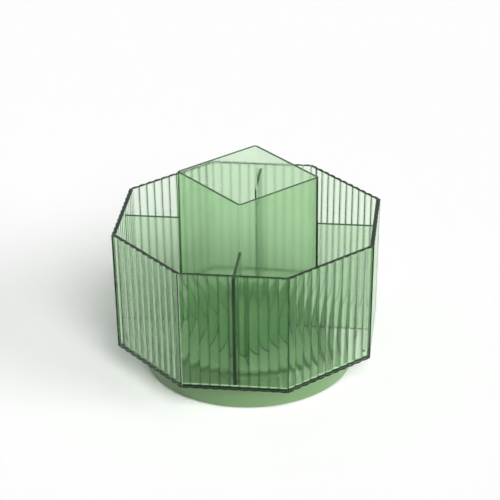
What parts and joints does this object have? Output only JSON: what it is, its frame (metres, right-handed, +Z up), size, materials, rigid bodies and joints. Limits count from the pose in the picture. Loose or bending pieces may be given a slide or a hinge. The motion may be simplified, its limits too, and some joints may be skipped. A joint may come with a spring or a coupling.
{
  "type": "rotating makeup brush holder",
  "caption": "Octagonal brush holder of ribbed see-through sheet, with a tall square tube and dividers inside, turning on a ball bearing over a round base.",
  "frame": {"origin": "on the table, under the middle of the base", "axes": "+Z up the axis that the holder turns about, -Y out of the front wall, +X to the right"},
  "size_m": [0.1518, 0.1518, 0.1209],
  "materials": {
    "ribbed_sheet": "polished see-through green sheet, ribbed outside",
    "plain_sheet": "polished see-through green sheet",
    "base_plastic": "moulded translucent green plastic",
    "zinc_steel": "bright zinc plating",
    "ball_steel": "polished steel",
    "acetal": "natural acetal",
    "silicone": "matt silicone"
  },
  "bodies": {
    "base": {"base_shell": "base_plastic", "base_cover": "base_plastic", "base_screws": "zinc_steel", "pivot_bush": "acetal", "foot_pads": "silicone"},
    "holder": {"wall_front": "ribbed_sheet", "wall_front_right": "ribbed_sheet", "wall_right": "ribbed_sheet", "wall_back_right": "ribbed_sheet", "wall_back": "ribbed_sheet", "wall_back_left": "ribbed_sheet", "wall_left": "ribbed_sheet", "wall_front_left": "ribbed_sheet", "divider_front": "plain_sheet", "divider_right": "plain_sheet", "divider_back": "plain_sheet", "divider_left": "plain_sheet", "tube_front_right": "plain_sheet", "tube_back_right": "plain_sheet", "tube_back_left": "plain_sheet", "tube_front_left": "plain_sheet", "floor_plate": "plain_sheet", "turntable_plate": "base_plastic", "pivot_screw": "zinc_steel", "pivot_washer": "zinc_steel"},
    "ball_ring": {"ball_cage": "acetal", "bearing_balls": "ball_steel"}
  },
  "joints": [
    {"name": "holder_spin", "type": "hinge", "parent": "base", "child": "holder", "pos_m": [0, 0, 0.0196], "axis": [0, 0, 1], "continuous": true},
    {"name": "ball_ring_spin", "type": "hinge", "parent": "base", "child": "ball_ring", "pos_m": [0, 0, 0.0154], "axis": [0, 0, 1], "continuous": true}
  ],
  "couplings": [
    {"joint": "ball_ring_spin", "follows": "holder_spin", "ratio": 0.5}
  ]
}
